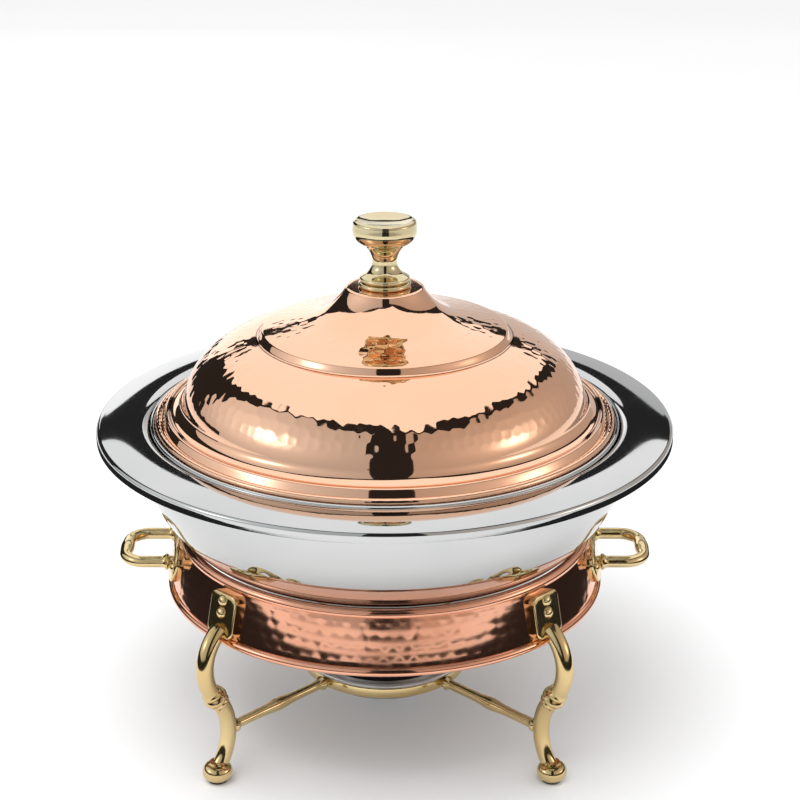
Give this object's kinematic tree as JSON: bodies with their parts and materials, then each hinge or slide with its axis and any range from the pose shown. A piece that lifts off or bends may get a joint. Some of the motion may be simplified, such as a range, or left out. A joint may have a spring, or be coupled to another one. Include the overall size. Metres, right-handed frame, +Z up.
{
  "type": "soup kettle",
  "caption": "Round buffet soup kettle: domed hammered copper lid with a knob, wide mirror steel rim, bowl and insert, on a copper and brass stand with a fuel burner.",
  "frame": {"origin": "on the table, under the middle of the kettle", "axes": "+Z up; -Y towards the guest; +X to the guest's right, through a handle"},
  "size_m": [0.3338, 0.3338, 0.3048],
  "materials": {
    "copper": "hammered and polished",
    "band_copper": "hammered and polished",
    "brass": "polished",
    "mirror_steel": "mirror polished",
    "satin_steel": "fine brushed",
    "screw_steel": "plain",
    "tin_plate": "tin-plated sheet",
    "rubber": "matte",
    "black_plastic": "glossy heat-proof plastic",
    "wick_fibre": "woven glass fibre"
  },
  "bodies": {
    "stand": {"stand_band": "band_copper", "leg_1": "brass", "leg_2": "brass", "leg_3": "brass", "leg_4": "brass", "foot_1": "brass", "foot_2": "brass", "foot_3": "brass", "foot_4": "brass", "foot_pad_1": "rubber", "foot_pad_2": "rubber", "foot_pad_3": "rubber", "foot_pad_4": "rubber", "leg_rivet_upper_1": "brass", "leg_rivet_upper_2": "brass", "leg_rivet_upper_3": "brass", "leg_rivet_upper_4": "brass", "leg_rivet_lower_1": "brass", "leg_rivet_lower_2": "brass", "leg_rivet_lower_3": "brass", "leg_rivet_lower_4": "brass", "handle_left": "brass", "handle_right": "brass", "handle_rivet_1": "brass", "handle_rivet_2": "brass", "handle_rivet_3": "brass", "handle_rivet_4": "brass", "stretcher": "brass", "burner_tray": "satin_steel"},
    "kettle": {"rim_flange": "mirror_steel", "bowl": "mirror_steel"},
    "insert": {"soup_insert": "mirror_steel"},
    "lid": {"lid_shell": "copper", "lid_lining": "satin_steel", "knob": "brass", "knob_collar": "brass", "knob_washer": "screw_steel", "knob_screw": "screw_steel"},
    "burner": {"burner_cup": "satin_steel", "burner_top": "satin_steel", "fuel_can": "tin_plate", "wick_collar": "brass", "wick": "wick_fibre", "damper_pin": "brass"},
    "damper": {"damper": "satin_steel", "damper_ball": "black_plastic"}
  },
  "joints": [
    {"name": "kettle_lift", "type": "slide", "parent": "stand", "child": "kettle", "axis": [0, 0, 1], "range_m": [0, 0.06]},
    {"name": "insert_lift", "type": "slide", "parent": "kettle", "child": "insert", "axis": [0, 0, 1], "range_m": [0, 0.11]},
    {"name": "lid_lift", "type": "slide", "parent": "insert", "child": "lid", "axis": [0, 0, 1], "range_m": [0, 0.15]},
    {"name": "burner_lift", "type": "slide", "parent": "stand", "child": "burner", "axis": [0, 0, 1], "range_m": [0, 0.017]},
    {"name": "damper_swing", "type": "hinge", "parent": "burner", "child": "damper", "pos_m": [0.03, 0, 0.0603], "axis": [0, 0, 1], "range_deg": [0, 100]}
  ]
}
